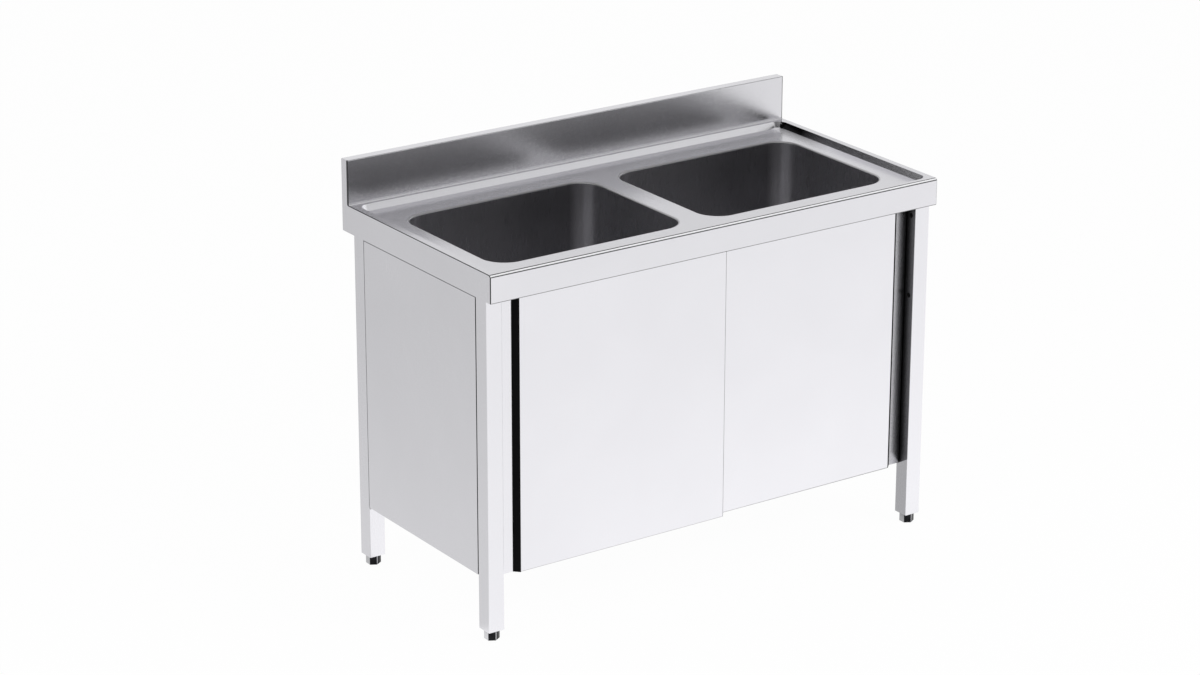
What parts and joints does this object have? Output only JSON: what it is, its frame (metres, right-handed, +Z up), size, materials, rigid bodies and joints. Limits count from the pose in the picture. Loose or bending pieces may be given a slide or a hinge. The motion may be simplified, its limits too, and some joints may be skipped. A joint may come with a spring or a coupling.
{
  "type": "kitchen sink unit",
  "caption": "Free-standing stainless steel sink unit with two deep bowls in a recessed worktop, a rear upstand, square legs on screw feet and sliding doors that overlap.",
  "frame": {"origin": "on the floor under the middle of the worktop's outline", "axes": "+X to the user's right along the worktop, +Y from the front apron to the wall, +Z up"},
  "size_m": [1.2, 0.6, 0.948],
  "materials": {
    "satin_steel": "fine satin",
    "bowl_steel": "deep-drawn satin",
    "zinc_steel": "zinc coated",
    "fastener_steel": "plain",
    "polished_steel": "polished",
    "black_plastic": "smooth",
    "rubber": "matt",
    "nylon": "moulded",
    "core_board": "rigid board"
  },
  "bodies": {
    "frame": {"back_panel": "satin_steel", "bottom_shelf": "satin_steel", "bowl_left": "bowl_steel", "bowl_right": "bowl_steel", "centre_stiffener": "zinc_steel", "door_buffers": "rubber", "door_floor_guide": "zinc_steel", "front_rail": "zinc_steel", "guide_screws": "fastener_steel", "leg_front_left": "satin_steel", "leg_front_right": "satin_steel", "leg_inserts": "nylon", "leg_rear_left": "satin_steel", "leg_rear_right": "satin_steel", "panel_rivets": "fastener_steel", "rear_rail": "zinc_steel", "shelf_stiffener": "zinc_steel", "side_panel_left": "satin_steel", "side_panel_right": "satin_steel", "side_rail_left": "zinc_steel", "side_rail_right": "zinc_steel", "track_front": "zinc_steel", "track_rear": "zinc_steel", "track_screws": "fastener_steel", "upstand_cap_left": "satin_steel", "upstand_cap_right": "satin_steel", "waste_bodies": "polished_steel", "waste_gaskets": "rubber", "waste_nuts": "black_plastic", "waste_strainers": "polished_steel", "worktop": "satin_steel"},
    "door_left": {"door_left_skin": "satin_steel", "door_left_liner": "satin_steel", "door_left_core": "core_board", "door_left_grip": "black_plastic", "door_left_hangers": "zinc_steel", "door_left_axles": "fastener_steel", "door_left_screws": "fastener_steel"},
    "door_right": {"door_right_skin": "satin_steel", "door_right_liner": "satin_steel", "door_right_core": "core_board", "door_right_grip": "black_plastic", "door_right_hangers": "zinc_steel", "door_right_axles": "fastener_steel", "door_right_screws": "fastener_steel"},
    "roller_left_outer": {"roller_left_outer": "nylon"},
    "roller_left_inner": {"roller_left_inner": "nylon"},
    "roller_right_outer": {"roller_right_outer": "nylon"},
    "roller_right_inner": {"roller_right_inner": "nylon"},
    "foot_front_left": {"foot_front_left": "polished_steel"},
    "foot_front_right": {"foot_front_right": "polished_steel"},
    "foot_rear_left": {"foot_rear_left": "polished_steel"},
    "foot_rear_right": {"foot_rear_right": "polished_steel"}
  },
  "joints": [
    {"name": "door_left_slide", "type": "slide", "parent": "frame", "child": "door_left", "axis": [1, 0, 0], "range_m": [0, 0.528]},
    {"name": "door_right_slide", "type": "slide", "parent": "frame", "child": "door_right", "axis": [-1, 0, 0], "range_m": [0, 0.528]},
    {"name": "roller_left_outer_spin", "type": "hinge", "parent": "door_left", "child": "roller_left_outer", "pos_m": [-0.466, -0.2698, 0.8093], "axis": [0, 1, 0], "range_deg": [0, 4325]},
    {"name": "roller_left_inner_spin", "type": "hinge", "parent": "door_left", "child": "roller_left_inner", "pos_m": [-0.062, -0.2698, 0.8093], "axis": [0, 1, 0], "range_deg": [0, 4325]},
    {"name": "roller_right_outer_spin", "type": "hinge", "parent": "door_right", "child": "roller_right_outer", "pos_m": [0.466, -0.2518, 0.8093], "axis": [0, -1, 0], "range_deg": [0, 4325]},
    {"name": "roller_right_inner_spin", "type": "hinge", "parent": "door_right", "child": "roller_right_inner", "pos_m": [0.062, -0.2518, 0.8093], "axis": [0, -1, 0], "range_deg": [0, 4325]},
    {"name": "foot_front_left_screw", "type": "slide", "parent": "frame", "child": "foot_front_left", "axis": [0, 0, -1], "range_m": [0, 0.025]},
    {"name": "foot_front_right_screw", "type": "slide", "parent": "frame", "child": "foot_front_right", "axis": [0, 0, -1], "range_m": [0, 0.025]},
    {"name": "foot_rear_left_screw", "type": "slide", "parent": "frame", "child": "foot_rear_left", "axis": [0, 0, -1], "range_m": [0, 0.025]},
    {"name": "foot_rear_right_screw", "type": "slide", "parent": "frame", "child": "foot_rear_right", "axis": [0, 0, -1], "range_m": [0, 0.025]}
  ],
  "couplings": [
    {"joint": "roller_left_outer_spin", "follows": "door_left_slide", "rad_per_m": 142.86},
    {"joint": "roller_left_inner_spin", "follows": "door_left_slide", "rad_per_m": 142.86},
    {"joint": "roller_right_outer_spin", "follows": "door_right_slide", "rad_per_m": 142.86},
    {"joint": "roller_right_inner_spin", "follows": "door_right_slide", "rad_per_m": 142.86}
  ]
}
